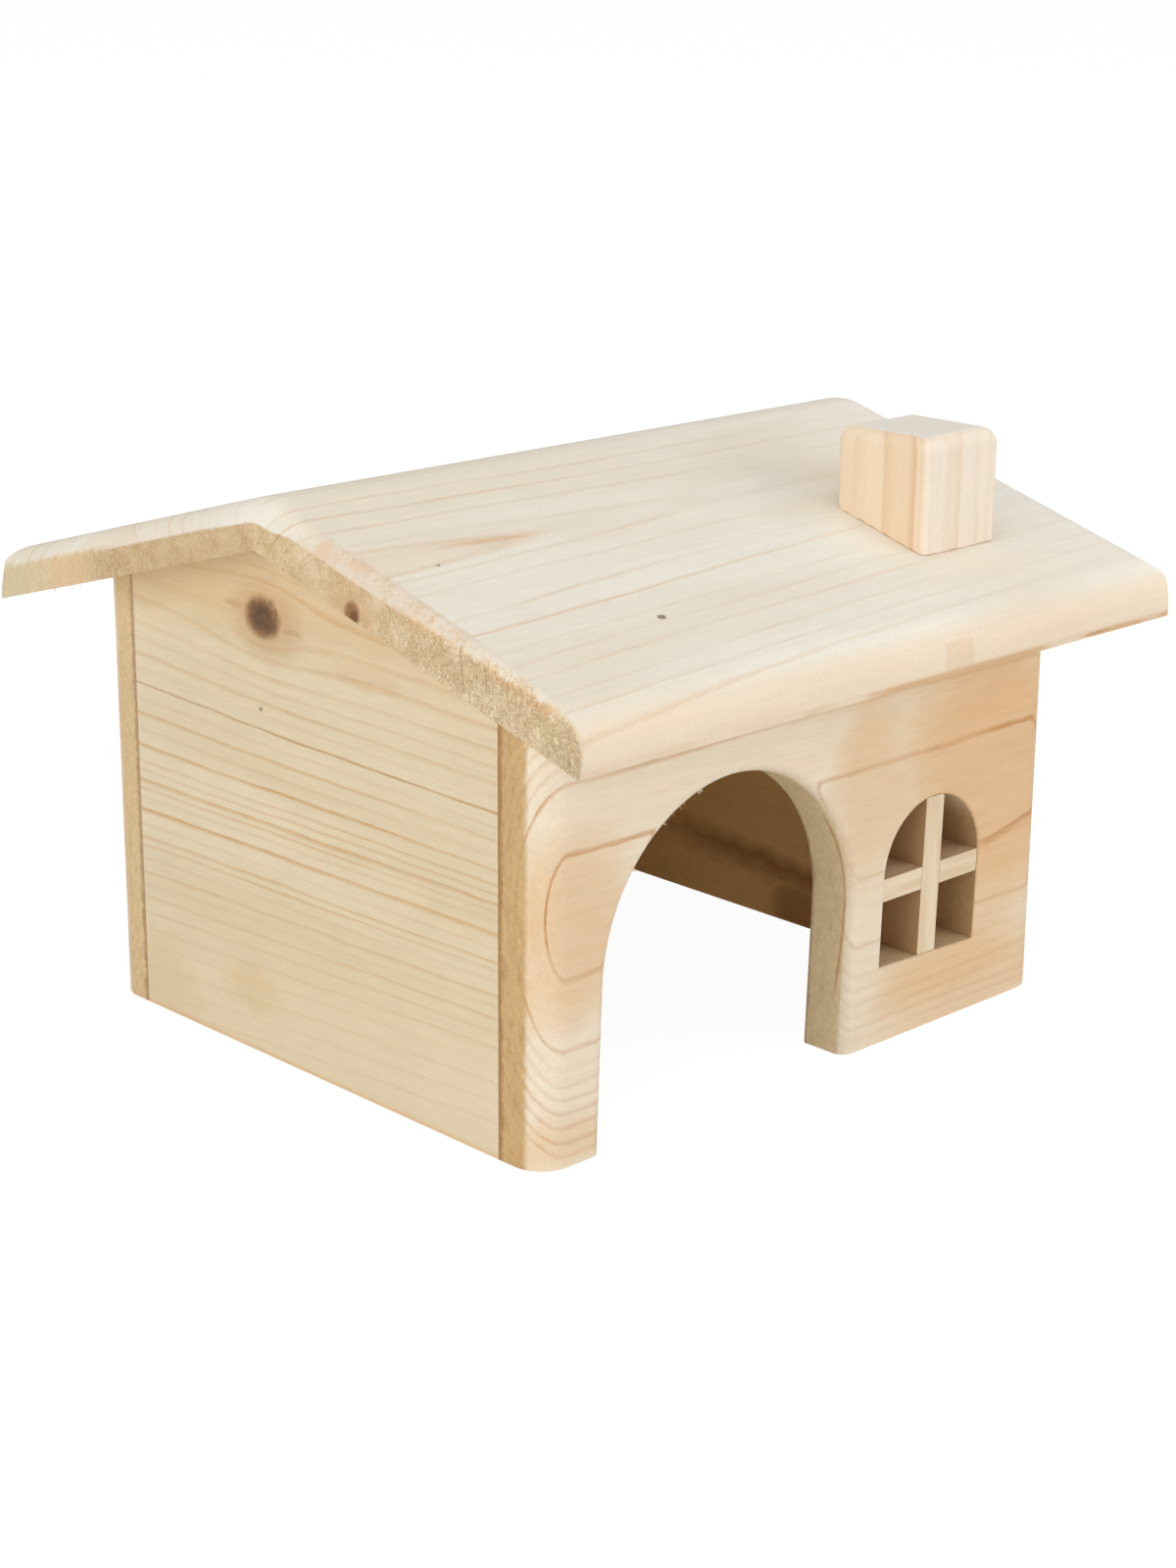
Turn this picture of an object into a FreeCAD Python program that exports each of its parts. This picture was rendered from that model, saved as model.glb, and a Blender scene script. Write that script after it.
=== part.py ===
import FreeCAD, Part
import math
import os

# Wooden house for a hamster: four glued boards, a roof of two mitred boards,
# a chimney block and a window with two crossing bars. It has no floor.
# Millimetres and degrees. X runs along the ridge, -Y is the front with the
# doorway, +Z is up. The origin is on the ground under the middle of the roof.

# Walls and gables
wall_length = 130.5            # front and back wall, along the ridge
wall_thickness = 10.0          # front and back wall boards
wall_corner_round = 6.0        # outer upright edges of the front and back wall
gable_width = 97.0             # gable board, between the front and back wall
gable_thickness = 10.5
peak_height = 96.0             # gable peak above the ground

# Roof
roof_pitch = 16.0              # slope of each roof board, degrees
end_overhang = 9.75            # roof past the walls, at each end
roof_board_width = 80.0        # underside of one board, ridge to eave
roof_thickness = 8.5
ridge_round = 12.0             # radius of the sanded ridge
eave_edge_height = 0.5         # square edge left under the rounded eave
ridge_end_round = 5.0          # upper end edges of the boards, at the ridge
end_round = 4.6                # the same edges, away from the ridge
crisp_end_round = 3.3          # the same on the front board's left end
crisp_eave_round = 1.2         # what that end's rounding tapers to at the eave
end_blend = 14.0               # length in which the ridge's radius turns into the other
corner_round = 1.2             # roof corners at the eaves, at the underside
corner_top_round = 7.0         # the same corners, at the upper face

# Doorway
doorway_from_end = 14.2        # width of the pier left of the doorway
doorway_width = 60.3
doorway_height = 58.8          # ground to the crown of the arch
doorway_front_round = 2.4
doorway_back_round = 1.2

# Window and its bars
window_from_doorway = 9.4      # width of the pier between the two openings
window_width = 26.5
window_height = 30.1           # sill to the crown of the arch
window_sill_height = 14.1
window_edge_round = 0.6
opening_lean = 2.0             # lean of doorway and window to the right, degrees
upright_bar_width = 4.9
cross_bar_width = 4.2
cross_bar_rise = 12.8          # sill to the cross bar's underside
bar_setback = 0.4              # bars behind the wall's faces
bar_clearance = 0.1            # glue gap at the bars' ends and in their lap

# Chimney
chimney_width = 20.2           # along the ridge
chimney_depth = 20.6           # across the ridge
chimney_height = 20.7          # its tall side, above the roof
chimney_from_end = 26.9        # roof end to the chimney's right side
chimney_from_ridge = 36.3      # level distance from the ridge
chimney_top_round = 2.8
chimney_side_round = 1.4

# Worked out from the sizes above
pitch = math.radians(roof_pitch)
front_inside = -gable_width / 2
front_face = front_inside - wall_thickness
wall_end = wall_length / 2
roof_end = wall_end + end_overhang
ridge_top = peak_height + roof_thickness / math.cos(pitch)
doorway_left = doorway_from_end - wall_end
doorway_middle = doorway_left + doorway_width / 2
window_left = doorway_left + doorway_width + window_from_doorway
window_middle = window_left + window_width / 2
down_slope = FreeCAD.Vector(0, -math.cos(pitch), -math.sin(pitch))
off_slope = FreeCAD.Vector(0, -math.sin(pitch), math.cos(pitch))
overcut = 3.0                  # how far a cutter reaches past what it cuts
tiny = 1e-6


def point(x, y, z):
    return FreeCAD.Vector(x, y, z)


def underside(y):
    """Height of the roof's underside at this distance from the ridge."""
    return peak_height - abs(y) * math.tan(pitch)


def topside(y):
    """Height of the roof's upper face at this distance from the ridge."""
    return ridge_top - abs(y) * math.tan(pitch)


def prism(corners, along):
    """Solid with these corners as its profile, swept along a vector."""
    return Part.Face(Part.makePolygon(corners + corners[:1])).extrude(along)


def to_the_rear(shape):
    """The same shape on the other side of the ridge."""
    return shape.mirror(point(0, 0, 0), point(0, 1, 0))


def edges_within(solid, x=None, y=None, z=None):
    """Edges that lie inside each given range; a single number is a plane."""
    found = []
    for edge in solid.Edges:
        box = edge.BoundBox
        spans = [(x, box.XMin, box.XMax), (y, box.YMin, box.YMax), (z, box.ZMin, box.ZMax)]
        inside = True
        for wanted, lowest, highest in spans:
            if wanted is None:
                continue
            low, high = wanted if isinstance(wanted, tuple) else (wanted, wanted)
            inside = inside and lowest > low - tiny and highest < high + tiny
        if inside:
            found.append(edge)
    return found


def around(low, high):
    """Range with room on both sides, for an opening that leans."""
    return low - overcut, high + overcut


def leaned(shape, middle, foot):
    """The shape leaned to the right about its foot, as both openings are."""
    return shape.rotated(point(middle, 0, foot), point(0, 1, 0), opening_lean)


# Walls

def arched_cutter(left, width, foot, height):
    """Round-headed opening's shape, reaching through the front wall."""
    radius = width / 2
    spring = foot + height - radius
    y = front_face - overcut
    foot_left = point(left, y, foot)
    foot_right = point(left + width, y, foot)
    spring_left = point(left, y, spring)
    spring_right = point(left + width, y, spring)
    crown = point(left + radius, y, foot + height)
    outline = Part.Wire([
        Part.makeLine(foot_left, foot_right),
        Part.makeLine(foot_right, spring_right),
        Part.Arc(spring_right, crown, spring_left).toShape(),
        Part.makeLine(spring_left, foot_left),
    ])
    return Part.Face(outline).extrude(point(0, wall_thickness + 2 * overcut, 0))


def doorway_cutter():
    """Doorway's shape, reaching well below the ground."""
    foot = -2 * overcut
    upright = arched_cutter(doorway_left, doorway_width, foot, doorway_height - foot)
    return leaned(upright, doorway_middle, 0)


def window_cutter(smaller=0.0):
    """Window's shape, shrunk all round by the given amount."""
    upright = arched_cutter(
        window_left + smaller,
        window_width - 2 * smaller,
        window_sill_height + smaller,
        window_height - 2 * smaller,
    )
    return leaned(upright, window_middle, window_sill_height)


def plain_wall(foot=0.0):
    """Front wall without openings: top edge follows the roof, corners round."""
    corners = [
        point(-wall_end, front_face, foot),
        point(-wall_end, front_inside, foot),
        point(-wall_end, front_inside, underside(front_inside)),
        point(-wall_end, front_face, underside(front_face)),
    ]
    board = prism(corners, point(wall_length, 0, 0))
    left_corner = edges_within(board, x=-wall_end, y=front_face)
    right_corner = edges_within(board, x=wall_end, y=front_face)
    return board.makeFillet(wall_corner_round, left_corner + right_corner)


def front_wall():
    """Front wall with a round-headed doorway and window, their edges eased."""
    doorway_span = around(doorway_left, doorway_left + doorway_width)
    window_span = around(window_left, window_left + window_width)
    window_rise = around(window_sill_height, window_sill_height + window_height)
    wall = plain_wall(-overcut).cut(doorway_cutter()).cut(window_cutter())
    for face, radius in ((front_face, doorway_front_round), (front_inside, doorway_back_round)):
        outline = edges_within(wall, x=doorway_span, y=face, z=around(0, doorway_height))
        wall = wall.makeFillet(radius, outline)
    outline = edges_within(wall, x=window_span, y=front_face, z=window_rise)
    wall = wall.makeFillet(window_edge_round, outline)
    return wall.cut(below_ground())


def below_ground():
    """The front wall's foot below the ground, which lets its edges round cleanly."""
    return Part.makeBox(wall_length, wall_thickness, overcut, point(-wall_end, front_face, -overcut))


def back_wall():
    """Back wall: the plain board, turned to the rear."""
    return to_the_rear(plain_wall())


def gable(outer_x, inwards):
    """Pentagon board under the roof's end, flush with the ends of the walls."""
    corners = [
        point(outer_x, front_inside, 0),
        point(outer_x, -front_inside, 0),
        point(outer_x, -front_inside, underside(front_inside)),
        point(outer_x, 0, peak_height),
        point(outer_x, front_inside, underside(front_inside)),
    ]
    return prism(corners, point(inwards * gable_thickness, 0, 0))


# Roof

def roof_blank():
    """Front roof board with a sanded ridge, a square eave and square ends."""
    apex = point(-roof_end, 0, peak_height)
    eave_arris = apex + down_slope * roof_board_width
    eave_corner = eave_arris + off_slope * roof_thickness
    ridge_centre = point(-roof_end, 0, ridge_top - ridge_round / math.cos(pitch))
    ridge_foot = ridge_centre + off_slope * ridge_round
    ridge_middle = ridge_centre + (off_slope + point(0, 0, 1)).normalize() * ridge_round
    ridge_head = ridge_centre + point(0, 0, ridge_round)
    blend_end = ridge_foot + down_slope * end_blend
    outline = Part.Wire([
        Part.makeLine(apex, eave_arris),
        Part.makeLine(eave_arris, eave_corner),
        Part.makeLine(eave_corner, blend_end),
        Part.makeLine(blend_end, ridge_foot),
        Part.Arc(ridge_foot, ridge_middle, ridge_head).toShape(),
        Part.makeLine(ridge_head, apex),
    ])
    return Part.Face(outline).extrude(point(2 * roof_end, 0, 0))


def round_roof_end(board, end_x, radius):
    """Round one end's upper edges: one radius at the ridge, another beyond it."""
    blend_edge = [edge for edge in edges_within(board, x=end_x)
                  if abs(edge.Length - end_blend) < tiny]
    return board.makeFillet(radius, ridge_end_round, blend_edge)


def rising_radii(edge, low, high):
    """Radii for the edge's lower and upper end, in the order in which it runs."""
    starts_low = edge.valueAt(edge.FirstParameter).z < edge.CenterOfMass.z
    return (low, high) if starts_low else (high, low)


def taper_end(board, end_x):
    """Round one end's upper edge less and less, from the ridge down to the eave."""
    blank = roof_blank()
    eave_y = (down_slope * roof_board_width + off_slope * roof_thickness).y
    sloping = [edge for edge in edges_within(blank, x=end_x)
               if edge.Length > end_blend and abs(edge.BoundBox.YMin - eave_y) < tiny]
    radii = rising_radii(sloping[0], crisp_eave_round, crisp_end_round)
    return board.common(blank.makeFillet(*radii, sloping))


def round_eave(board):
    """Round the eave's long upper edge, mitred with the rounded ends."""
    blank = roof_blank()
    corner_y = (down_slope * roof_board_width + off_slope * roof_thickness).y
    corner = edges_within(blank, y=corner_y)
    return board.common(blank.makeFillet(roof_thickness - eave_edge_height, corner))


def ease_corner(board, end_x):
    """Round one corner at the eave, seen from above, more and more towards its top."""
    blank = roof_blank()
    eave_y = (down_slope * roof_board_width).y
    corner = edges_within(blank, x=end_x, y=(2 * eave_y, eave_y))
    radii = rising_radii(corner[0], corner_round, corner_top_round)
    return board.common(blank.makeFillet(*radii, corner))


def roof_board(left_radius, right_radius):
    """Roof board over the front slope, mitred at the ridge, its right corner eased."""
    board = round_roof_end(roof_blank(), -roof_end, left_radius)
    board = round_roof_end(board, roof_end, right_radius)
    return ease_corner(round_eave(board), roof_end)


def roof_front_board():
    """Front board: its left end is crisper towards the eave, with a sharp corner."""
    board = roof_board(crisp_eave_round, end_round)
    return taper_end(board, -roof_end).removeSplitter()


def roof_rear_board():
    """Rear board: both ends and corners are worn round."""
    board = ease_corner(roof_board(end_round, end_round), -roof_end)
    return to_the_rear(board.removeSplitter())


# Chimney

def chimney():
    """Upright block, its foot cut to the slope of the front roof board."""
    left = roof_end - chimney_from_end - chimney_width
    right = left + chimney_width
    rear = -chimney_from_ridge
    front = rear - chimney_depth
    top = topside(front) + chimney_height
    corners = [
        point(left, front, topside(front)),
        point(left, rear, topside(rear)),
        point(left, rear, top),
        point(left, front, top),
    ]
    block = prism(corners, point(chimney_width, 0, 0))
    upright = []
    for x in (left, right):
        for y in (front, rear):
            upright += edges_within(block, x=x, y=y)
    block = block.makeFillet(chimney_side_round, upright)
    return block.makeFillet(chimney_top_round, edges_within(block, z=top))


# Window bars

def bar_box(left, foot, width, height):
    """Bar blank as deep as the wall, less the setback on both faces."""
    depth = wall_thickness - 2 * bar_setback
    return Part.makeBox(width, depth, height, point(left, front_face + bar_setback, foot))


def upright_blank(looser=0.0):
    """Upright bar before its ends are shaped, wider on both sides if looser."""
    width = upright_bar_width + 2 * looser
    height = window_height + 2 * overcut
    bar = bar_box(window_middle - width / 2, window_sill_height - overcut, width, height)
    return leaned(bar, window_middle, window_sill_height)


def cross_blank(looser=0.0):
    """Cross bar before its ends are shaped, higher on both sides if looser."""
    foot = window_sill_height + cross_bar_rise
    height = cross_bar_width + 2 * looser
    length = window_width + 2 * overcut
    return bar_box(window_left - overcut, foot - looser, length, height)


def half_of_wall(start_y):
    """Block as long and high as the house, half a wall thick from start_y."""
    return Part.makeBox(wall_length, wall_thickness / 2, peak_height, point(-wall_end, start_y, 0))


def window_upright_bar():
    """Upright bar, notched at the back where the cross bar laps it."""
    rear_half = half_of_wall(front_face + wall_thickness / 2)
    notch = cross_blank(bar_clearance).common(rear_half)
    return upright_blank().common(window_cutter(bar_clearance)).cut(notch)


def window_cross_bar():
    """Cross bar, notched at the front where the upright bar laps it."""
    front_half = half_of_wall(front_face)
    notch = upright_blank(bar_clearance).common(front_half)
    return cross_blank().common(window_cutter(bar_clearance)).cut(notch)


pieces = {
    "front_wall": front_wall(),
    "back_wall": back_wall(),
    "left_gable": gable(-wall_end, 1),
    "right_gable": gable(wall_end, -1),
    "roof_front_board": roof_front_board(),
    "roof_rear_board": roof_rear_board(),
    "chimney": chimney(),
    "window_upright_bar": window_upright_bar(),
    "window_cross_bar": window_cross_bar(),
}

os.makedirs("parts", exist_ok=True)
for name, shape in pieces.items():
    shape.exportStep("parts/" + name + ".step")
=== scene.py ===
import bpy
import math
import random
from mathutils import Matrix, Vector


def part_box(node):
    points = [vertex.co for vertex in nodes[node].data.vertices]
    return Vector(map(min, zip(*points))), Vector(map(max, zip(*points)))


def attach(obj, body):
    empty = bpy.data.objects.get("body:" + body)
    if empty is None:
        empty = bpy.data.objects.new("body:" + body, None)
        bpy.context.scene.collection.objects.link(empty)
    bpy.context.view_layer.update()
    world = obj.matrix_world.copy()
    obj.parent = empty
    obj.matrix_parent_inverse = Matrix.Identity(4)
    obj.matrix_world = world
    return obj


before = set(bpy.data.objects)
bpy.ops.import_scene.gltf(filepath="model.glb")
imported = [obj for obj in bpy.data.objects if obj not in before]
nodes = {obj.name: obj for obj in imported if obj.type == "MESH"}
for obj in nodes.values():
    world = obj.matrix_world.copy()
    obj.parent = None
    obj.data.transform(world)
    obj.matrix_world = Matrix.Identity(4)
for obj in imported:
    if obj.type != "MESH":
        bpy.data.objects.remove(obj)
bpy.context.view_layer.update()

MM = 0.001
ALONG_X, ALONG_Y, ALONG_Z = 0, 1, 2    # axis that a board's grain follows, or that a surface faces


# Node graphs

def srgb(red, green, blue):
    """Linear colour of an sRGB colour given as 0 to 255."""
    channels = []
    for value in (red, green, blue):
        share = value / 255
        channels.append(share / 12.92 if share <= 0.04045 else ((share + 0.055) / 1.055) ** 2.4)
    return (*channels, 1.0)


class Number:
    """A number on a node's output; arithmetic on it adds nodes to its graph."""

    def __init__(self, graph, socket):
        self.graph = graph
        self.socket = socket

    def __add__(self, other):
        return self.graph.math("ADD", self, other)

    def __radd__(self, other):
        return self.graph.math("ADD", other, self)

    def __sub__(self, other):
        return self.graph.math("SUBTRACT", self, other)

    def __rsub__(self, other):
        return self.graph.math("SUBTRACT", other, self)

    def __mul__(self, other):
        return self.graph.math("MULTIPLY", self, other)

    def __truediv__(self, other):
        return self.graph.math("DIVIDE", self, other)

    def __rtruediv__(self, other):
        return self.graph.math("DIVIDE", other, self)

    def __pow__(self, other):
        return self.graph.math("POWER", self, other)


class Graph:
    """A material's node tree, written as calls."""

    def __init__(self, name):
        self.material = bpy.data.materials.new(name)
        self.material.use_nodes = True
        self.tree = self.material.node_tree
        self.tree.nodes.clear()

    def node(self, kind, **settings):
        made = self.tree.nodes.new(kind)
        for key, value in settings.items():
            setattr(made, key, value)
        return made

    def put(self, socket, value):
        """Link a value's socket, or write a plain number or colour."""
        if isinstance(value, Number):
            value = value.socket
        if isinstance(value, bpy.types.NodeSocket):
            self.tree.links.new(value, socket)
        else:
            socket.default_value = value

    def math(self, operation, *values):
        made = self.node("ShaderNodeMath", operation=operation)
        for socket, value in zip(made.inputs, values):
            self.put(socket, value)
        return Number(self, made.outputs[0])

    def larger(self, first, second):
        return self.math("MAXIMUM", first, second)

    def smaller(self, first, second):
        return self.math("MINIMUM", first, second)

    def unsigned(self, value):
        return self.math("ABSOLUTE", value)

    def step(self, value, low, high, start=0.0, end=1.0):
        """Smooth change from start, at low, to end, at high."""
        made = self.node("ShaderNodeMapRange", interpolation_type="SMOOTHSTEP")
        for socket, given in zip(made.inputs, (value, low, high, start, end)):
            self.put(socket, given)
        return Number(self, made.outputs[0])

    def join(self, x, y, z):
        made = self.node("ShaderNodeCombineXYZ")
        for socket, value in zip(made.inputs, (x, y, z)):
            self.put(socket, value)
        return made.outputs[0]

    def split(self, vector):
        made = self.node("ShaderNodeSeparateXYZ")
        self.put(made.inputs[0], vector)
        return [Number(self, socket) for socket in made.outputs]

    def noise(self, place, detail=2.0, roughness=0.5):
        """Noise from 0 to 1, about 0.5, whose coarsest lumps are about one unit of the place."""
        made = self.node("ShaderNodeTexNoise")
        self.put(made.inputs["Vector"], place)
        made.inputs["Scale"].default_value = 1.0
        made.inputs["Detail"].default_value = detail
        made.inputs["Roughness"].default_value = roughness
        return Number(self, made.outputs[0])

    def mix(self, share, first, second, blend="MIX"):
        """Mixed colour; the node's sockets 6 and 7 are its colours, and output 2 the result."""
        made = self.node("ShaderNodeMix", data_type="RGBA", blend_type=blend)
        self.put(made.inputs[0], share)
        self.put(made.inputs[6], first)
        self.put(made.inputs[7], second)
        return made.outputs[2]


class Board(Graph):
    """Material of one board: its place in millimetres, and the marks of its wood.

    facings says how squarely the surface faces along each axis, and facing how squarely it
    faces along the grain, each from 0 to 1.
    """

    def __init__(self, name, grain):
        super().__init__(name)
        self.grain = grain
        place = self.node("ShaderNodeTexCoord").outputs["Object"]
        self.x, self.y, self.z = [axis / MM for axis in self.split(place)]
        normal = self.split(self.node("ShaderNodeNewGeometry").outputs["Normal"])
        self.facings = [self.unsigned(part) for part in normal]
        self.facing = self.facings[grain]

    def streaks(self, along, across, detail=2.0, shift=0.0):
        """Noise drawn out along the grain; the sizes of its streaks are in millimetres."""
        sizes = [across, across, across]
        sizes[self.grain] = along
        place = [axis / size for axis, size in zip((self.x + shift, self.y, self.z), sizes)]
        return self.noise(self.join(*place), detail)

    def grit(self, size, detail=2.0):
        """Noise of this size in millimetres, the same in all directions."""
        return self.noise(self.join(self.x / size, self.y / size, self.z / size), detail)

    def wobble(self, along, across, reach, shift=0.0):
        """Shift in millimetres, from -reach to reach, that changes slowly along the grain."""
        spread = 2.5    # noise seldom strays more than 0.4 from its middle
        return (self.streaks(along, across, 1.0, shift) - 0.5) * (spread * reach)

    def ramp(self, value, low, high, stops):
        """Straight lines through the stops, each a place in millimetres and a height."""
        made = self.node("ShaderNodeValToRGB")
        made.color_ramp.interpolation = "LINEAR"
        self.put(made.inputs[0], (value - low) / (high - low))
        while len(made.color_ramp.elements) < len(stops):
            made.color_ramp.elements.new(0.5)
        for element, (place, height) in zip(made.color_ramp.elements, stops):
            element.position = (place - low) / (high - low)
            element.color = (height, height, height, 1)
        return Number(self, made.outputs[0])

    def rings(self, value, marks):
        """Dark ring lines: each mark is a place, a strength and the widths before and after it."""
        group_size = 8    # a ramp holds 32 stops, and each mark takes three
        margin = 0.5      # millimetres that the ramp reaches past its group of marks
        total = None
        for start in range(0, len(marks), group_size):
            stops = []
            for place, strength, before, after in marks[start:start + group_size]:
                stops += [(place - before, 0.0), (place, strength), (place + after, 0.0)]
            part = self.ramp(value, stops[0][0] - margin, stops[-1][0] + margin, stops)
            total = part if total is None else self.larger(total, part)
        return total

    def broken(self, rings, least=0.5):
        """Ring lines made of short fibres, and fading in and out along the grain."""
        fibres = self.streaks(along=5, across=0.35, shift=33)
        fade = self.step(self.streaks(along=45, across=6, shift=15), 0.3, 0.62, least, 1.0)
        return rings * fade * (fibres + 0.5)

    def spot(self, across, down, centre, radii, softness=0.5):
        """One inside an oval, nought outside it."""
        first = (across - centre[0]) / radii[0]
        second = (down - centre[1]) / radii[1]
        return self.step(first * first + second * second, 1 + softness, 1 - softness)

    def lit(self, colour, share, change):
        """The colour made lighter or darker by share (from 0 to 1, about 0.5) times change."""
        gain = (share - 0.5) * change + 1
        return self.mix(1.0, colour, self.join(gain, gain, gain), "MULTIPLY")

    def indoors(self):
        """One on the surfaces that face the room inside, and nought elsewhere."""
        past_gable = self.unsigned(self.x) - room_half_length
        past_wall = self.unsigned(self.y) - room_half_width
        above = self.z + self.unsigned(self.y) * math.tan(pitch) - peak_height
        past_face = self.larger(self.larger(past_gable, past_wall), above)
        outside, inside = 0.15, 0.05    # millimetres past the room's faces
        return self.step(past_face, outside, inside)

    def finish(self, colour, roughness, relief):
        """Shader with this colour and roughness, and this relief in millimetres."""
        bump = self.node("ShaderNodeBump")
        bump.inputs["Strength"].default_value = 1.0
        bump.inputs["Distance"].default_value = MM
        self.put(bump.inputs["Height"], relief)
        shader = self.node("ShaderNodeBsdfPrincipled")
        self.put(shader.inputs["Base Color"], colour)
        self.put(shader.inputs["Roughness"], roughness)
        shader.inputs["Specular IOR Level"].default_value = 0.25
        self.put(shader.inputs["Normal"], bump.outputs[0])
        output = self.node("ShaderNodeOutputMaterial")
        self.put(output.inputs[0], shader.outputs[0])
        return self.material


# Sizes that the wood follows, in millimetres, from the frame

def millimetres(box):
    """Lowest and highest corner of a box that is given in metres."""
    return [tuple(value / MM for value in corner) for corner in box]


wall_low, wall_high = millimetres(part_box("front_wall"))
gable_low, gable_high = millimetres(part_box("right_gable"))
bar_low, bar_high = millimetres(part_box("window_cross_bar"))
roof_high = millimetres(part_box("roof_front_board"))[1]
chimney_low = millimetres(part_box("chimney"))[0]
front_face = wall_low[1]
wall_thickness = wall_high[1] - wall_low[1]
room_half_width = -wall_high[1]
room_half_length = gable_low[0]
peak_height = gable_high[2]
window_left = bar_low[0]
window_right = bar_high[0]
roof_end = roof_high[0]
roof_thickness = 8.5    # this and the pitch can't be read from a box
pitch = math.radians(16)
ridge_height = peak_height + roof_thickness / math.cos(pitch)


# Wood

END_GRAIN = (0.955, 0.985)    # facings at which end grain starts to show, and shows in full


def shared_wood(board, colour, rings, end_colour, end=None, fibre_change=0.16,
                end_change=0.40, end_relief=None):
    """Fibres, pores and roughness that all the boards have, and painted shade on their faces
    indoors.

    rings is the lines' strength, and end is one where the surface shows end grain. The
    changes say how strongly fibres and end grain vary in brightness.
    """
    fibre = board.streaks(along=6, across=0.22, detail=3.0)
    strand = board.streaks(along=30, across=1.1, shift=70)
    cloud = board.grit(9, detail=3.0)
    dust = board.grit(0.45, detail=1.0)
    for share, change in ((fibre, fibre_change), (strand, 0.08), (cloud, 0.06), (dust, 0.13)):
        colour = board.lit(colour, share, change)
    if end is None:
        end = board.step(board.facing, *END_GRAIN)
    pores = board.grit(0.30)
    clumps = board.grit(1.3, detail=3.0)
    end_shade = board.lit(end_colour, pores, end_change)
    end_shade = board.lit(end_shade, clumps, end_change * 0.8)
    end_shade = board.mix(rings * 0.35, end_shade, srgb(160, 118, 72))
    colour = board.mix(end, colour, end_shade)
    # Painted shade: faces indoors are darkened and warmed, for the shade and the warm light bounced
    # between the boards inside the house.
    painted_indoor_shade = (1.08, 0.92, 0.66, 1.0)
    inside = board.mix(1.0, colour, painted_indoor_shade, "MULTIPLY")
    colour = board.mix(board.indoors(), colour, inside)
    roughness = 0.62 + (fibre - 0.5) * 0.25 + end * 0.18
    relief = fibre * 0.04 + strand * 0.03 + dust * 0.02 + rings * 0.02 + pores * end * 0.06
    if end_relief is not None:
        relief = relief + end_relief
    return board.finish(colour, roughness, relief)


# Gables

# Each mark is a ring line's place, strength, and width before and after it, in millimetres.
left_gable_marks = [
    (3.6, 0.18, 0.6, 0.3), (7.4, 0.16, 0.6, 0.3), (11.0, 0.20, 0.7, 0.3),
    (14.6, 0.16, 0.6, 0.3), (17.6, 0.22, 0.7, 0.3), (20.6, 0.26, 0.6, 0.3),
    (23.3, 0.42, 0.6, 0.3), (25.6, 0.22, 0.5, 0.3), (27.8, 0.60, 0.7, 0.3),
    (30.3, 0.25, 0.5, 0.3), (32.6, 0.62, 0.6, 0.3), (34.1, 0.70, 0.6, 0.3),
    (36.6, 0.28, 0.5, 0.3), (39.4, 0.90, 0.9, 0.35), (41.6, 0.35, 0.5, 0.3),
    (43.2, 0.58, 0.5, 0.3), (44.7, 0.80, 1.0, 0.35), (46.4, 0.52, 0.5, 0.3),
    (48.1, 0.60, 0.5, 0.3), (50.9, 0.95, 0.6, 0.35), (53.6, 0.28, 0.6, 0.3),
    (56.4, 0.62, 0.7, 0.35), (59.0, 0.25, 0.6, 0.3), (61.5, 0.90, 0.45, 0.35),
    (64.2, 0.20, 0.7, 0.3), (66.8, 0.50, 0.9, 0.3), (69.6, 0.25, 0.8, 0.3),
    (72.4, 0.42, 1.0, 0.4), (76.2, 0.50, 1.2, 0.4), (79.6, 0.35, 1.0, 0.4),
    (83.4, 0.85, 0.35, 1.0), (86.4, 0.50, 0.5, 0.7), (89.5, 0.60, 0.8, 1.2),
]


def gable_colour(board):
    """Golden cream in broad bands, with painted light from the floor's bounce making it a little
    paler towards the ground.
    """
    tone = board.step(board.streaks(along=90, across=22, shift=5), 0.35, 0.65)
    colour = board.mix(tone, srgb(229, 213, 182), srgb(222, 203, 169))
    # Painted light: paler near the ground, for the light that the floor bounces up.
    low = board.step(board.z, 32, 4)
    return board.mix(low * 0.7, colour, srgb(232, 215, 185))


def bend_at_knot(board, across, centre, size):
    """How far a knot pushes the lines about it up or down."""
    stretch, strength = 2.2, 1.2
    off_across = (across - centre[0]) / stretch
    off_height = board.z - centre[1]
    distance = off_across * off_across + off_height * off_height
    return off_height * ((size * size * strength) / board.larger(distance, size ** 2))


def gable_knot(board, colour, across, centre, size):
    """The colour with a crumbling dark knot on it, a brown halo and a smudge on both sides."""
    ripple = board.grit(5, detail=3.0)
    for place, radii in (((-8.2, 0.9), (2.6, 0.6)), ((8.0, -1.5), (2.4, 0.6))):
        place = (centre[0] + place[0], centre[1] + place[1])
        smudge = board.spot(across + ripple * 3 - 1.5, board.z + ripple * 2 - 1, place, radii, 0.9)
        colour = board.mix(smudge * 0.35, colour, srgb(176, 132, 92))
    halo_centre = (centre[0] + 0.8, centre[1] - 0.4)
    halo = board.spot(across, board.z, halo_centre, (8.4, 6.4), 0.95)
    colour = board.mix(halo * 0.5, colour, srgb(196, 150, 104))
    crumble = board.grit(1.5, detail=4.0)
    edge = crumble - 0.5
    knot = board.spot(across + edge * 1.5, board.z + edge * 1.2, centre,
                      (size * 1.14, size * 0.88), 0.45)
    heart = board.spot(across + edge * 3.0, board.z, centre, (size * 0.8, size * 0.6), 0.8)
    knot_colour = board.mix(heart, srgb(140, 101, 66), srgb(92, 62, 40))
    knot_colour = board.lit(knot_colour, board.step(crumble, 0.3, 0.75), 0.7)
    knot_colour = board.lit(knot_colour, board.grit(0.8), 1.3)
    return board.mix(knot * 0.9, colour, knot_colour)


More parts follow.
